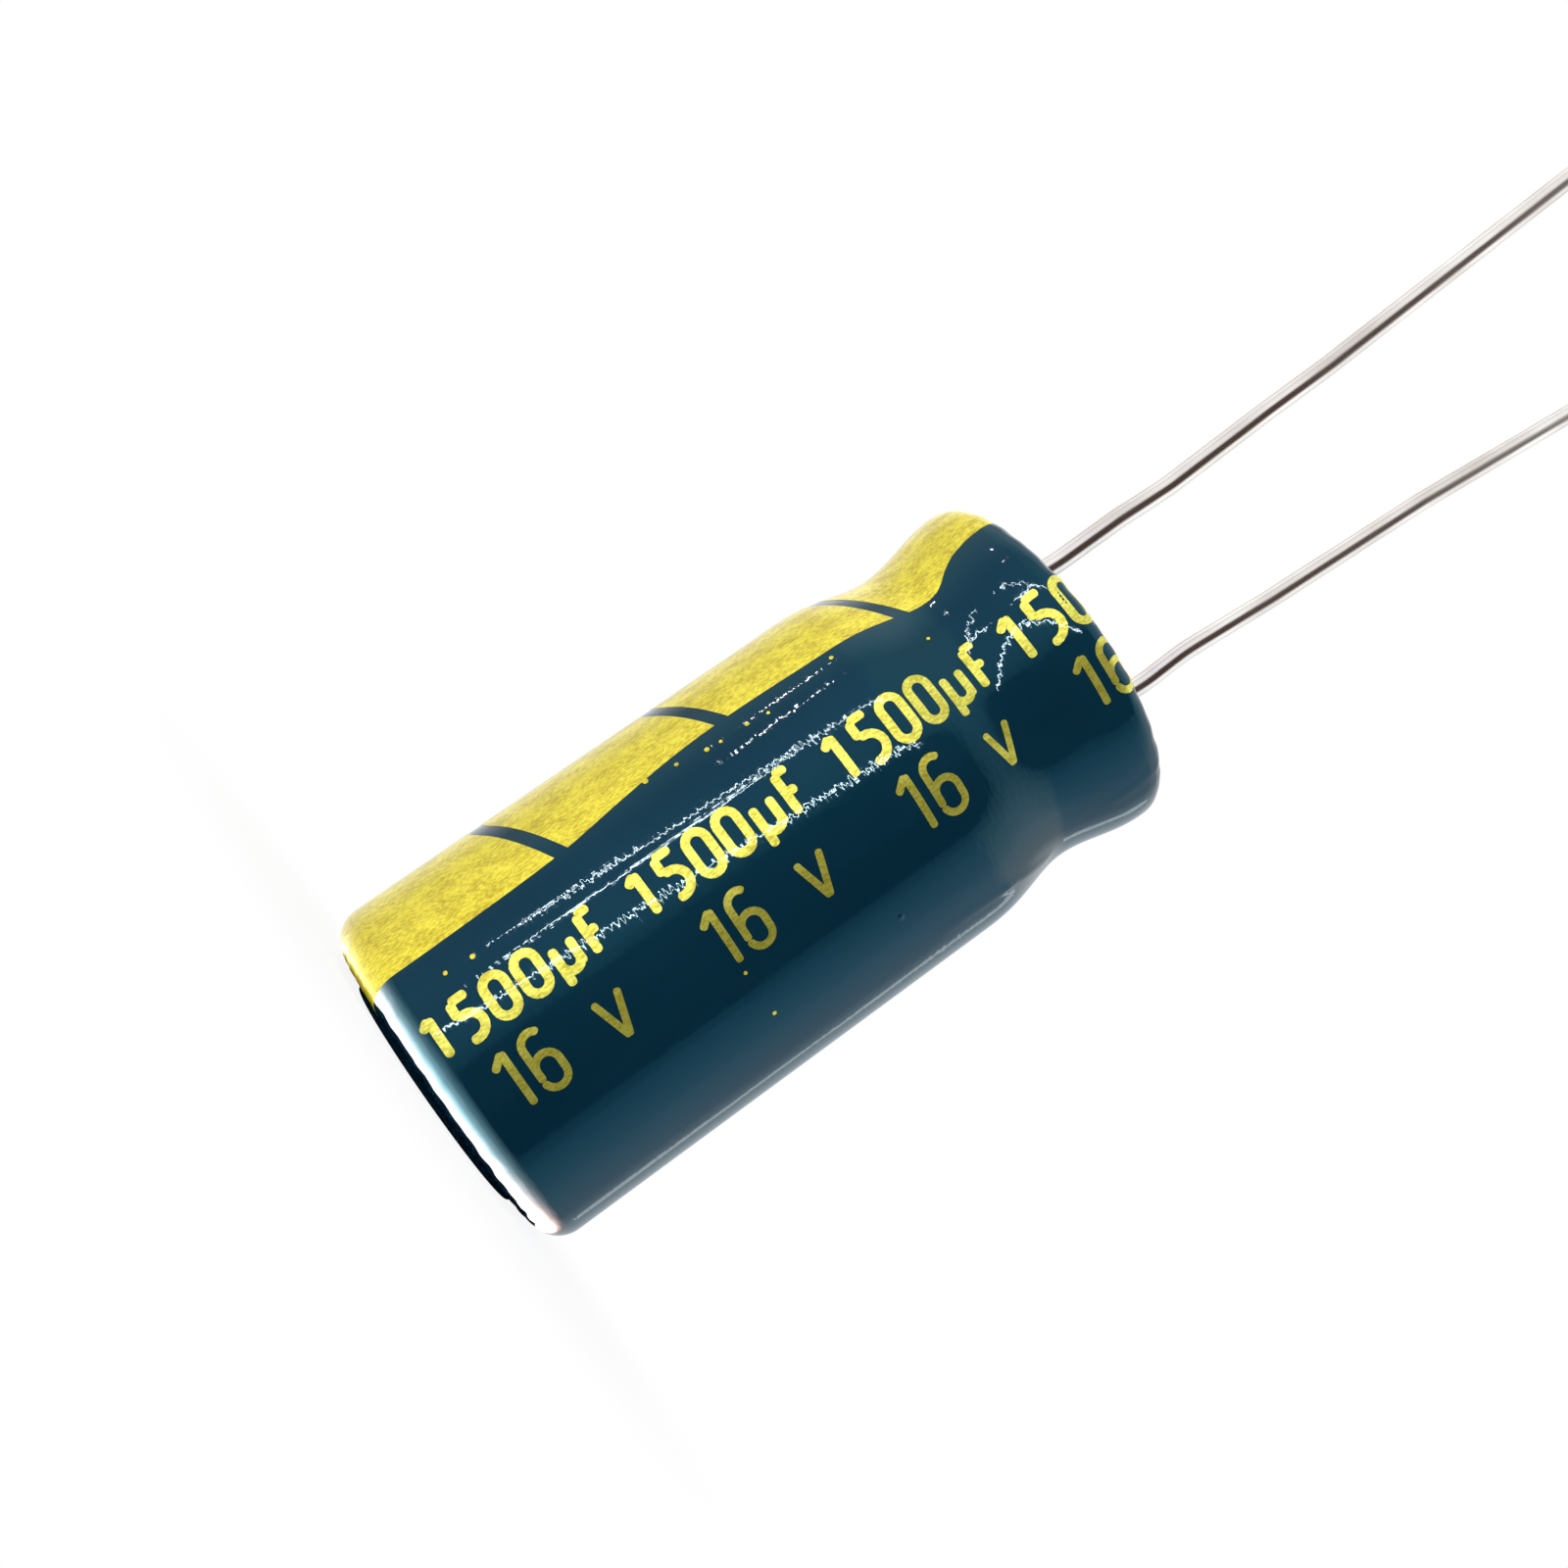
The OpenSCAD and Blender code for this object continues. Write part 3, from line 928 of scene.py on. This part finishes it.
# The walls in the gloss, as that turn and their colour there: grey and bluish on
# the lower side, faintly purple below the gold band, and pale beyond it but for
# one dim strip.
ROUND_ABOUT = [
    (-180, (0.55, 0.6, 0.65)), (-140, (0.7, 0.8, 0.85)), (-124, (0.5, 0.6, 0.7)),
    (-100, (0.75, 0.95, 1.1)), (-65, (0.55, 0.75, 0.9)), (8, (0.65, 0.8, 0.85)),
    (50, (0.9, 0.75, 0.95)), (66, (0.7, 0.6, 0.75)), (84, (0.9, 0.9, 0.9)),
    (98, (0.9, 0.9, 0.9)), (118, (0.5, 0.5, 0.5)), (150, (1.1, 1.1, 1.1)), (180, (1, 1, 1)),
]
# Below and above what the film mirrors to the camera, the colour gives way to
# grey between these heights. The surroundings are lighter above by this share.
GREY_BELOW, GREY_ABOVE = (-12, -5), (15, 22)
LIGHTER_ABOVE = 0.35
EVEN_LIGHT = 0.75


def dark_place(world, turn, rise):
    """The tone of the surroundings, dark in a rounded square around the camera."""
    offsets = []
    for angle, middle, half in ((turn, DARK_TURN, DARK_TURN_HALF), (rise, DARK_RISE, DARK_RISE_HALF)):
        offset = sums(world, "SUBTRACT", angle, radians(middle))
        offset = sums(world, "ABSOLUTE", sums(world, "DIVIDE", offset, radians(half)))
        offsets.append(sums(world, "POWER", offset, DARK_POWER))
    share = sums(world, "DIVIDE", sums(world, "ADD", *offsets), DARK_REACH)
    return ramp_through(world, share, DARK_TONES)


def walls(world, turn, rise, above):
    """The colour of the surroundings, grey above and below."""
    turned = sums(world, "ADD", sums(world, "DIVIDE", turn, 2 * pi), 0.5)
    colour = ramp_through(world, turned, [(at / 360 + 0.5, shade) for at, shade in ROUND_ABOUT])
    grey = add_node(world, "SeparateColor", {"Color": colour}).outputs["Green"]
    below = smooth_step(world, rise, *(radians(height) for height in GREY_BELOW), 1.0, 0.0)
    off = sums(world, "MAXIMUM", above, below)
    # Sockets 0, 6 and 7 are the share and the two colours, and output 2 is the mix.
    return add_node(world, "Mix", {0: off, 6: colour, 7: grey}, data_type="RGBA").outputs[2]


def studio_world():
    """White to the camera, an even light on the part, and walls and a dark place in its gloss."""
    world = bpy.data.worlds.new("studio")
    world.use_nodes = True
    world.node_tree.nodes.clear()
    way = add_node(world, "TexCoord", {}).outputs["Generated"]
    upwards = add_node(world, "SeparateXYZ", {"Vector": way}).outputs["Z"]
    across = Vector((FACING.y, -FACING.x, 0))
    ahead = add_node(world, "VectorMath", {0: way, 1: FACING}, operation="DOT_PRODUCT").outputs["Value"]
    aside = add_node(world, "VectorMath", {0: way, 1: across}, operation="DOT_PRODUCT").outputs["Value"]
    turn = sums(world, "ARCTAN2", aside, ahead)
    rise = sums(world, "ARCSINE", upwards)
    above = smooth_step(world, rise, *(radians(height) for height in GREY_ABOVE))
    both = {0: walls(world, turn, rise, above), 1: dark_place(world, turn, rise)}
    tone = add_node(world, "VectorMath", both, operation="MULTIPLY").outputs["Vector"]
    level = sums(world, "ADD", sums(world, "MULTIPLY", above, LIGHTER_ABOVE), 1.0)
    even = add_node(world, "Background", {"Color": (1, 1, 1, 1), "Strength": EVEN_LIGHT})
    gloss = add_node(world, "Background", {"Color": tone, "Strength": level})
    white = add_node(world, "Background", {"Color": (1, 1, 1, 1), "Strength": 1.0})
    path = add_node(world, "LightPath", {}).outputs
    mirrored = sums(world, "MAXIMUM", path["Is Glossy Ray"], path["Is Transmission Ray"])
    lit = add_node(world, "MixShader", {0: mirrored, 1: even.outputs[0], 2: gloss.outputs[0]})
    seen = add_node(world, "MixShader", {0: path["Is Camera Ray"], 1: lit.outputs[0], 2: white.outputs[0]})
    add_node(world, "OutputWorld", {"Surface": seen.outputs[0]})
    return world


bpy.context.scene.world = studio_world()
bpy.context.scene.view_settings.view_transform = "Standard"
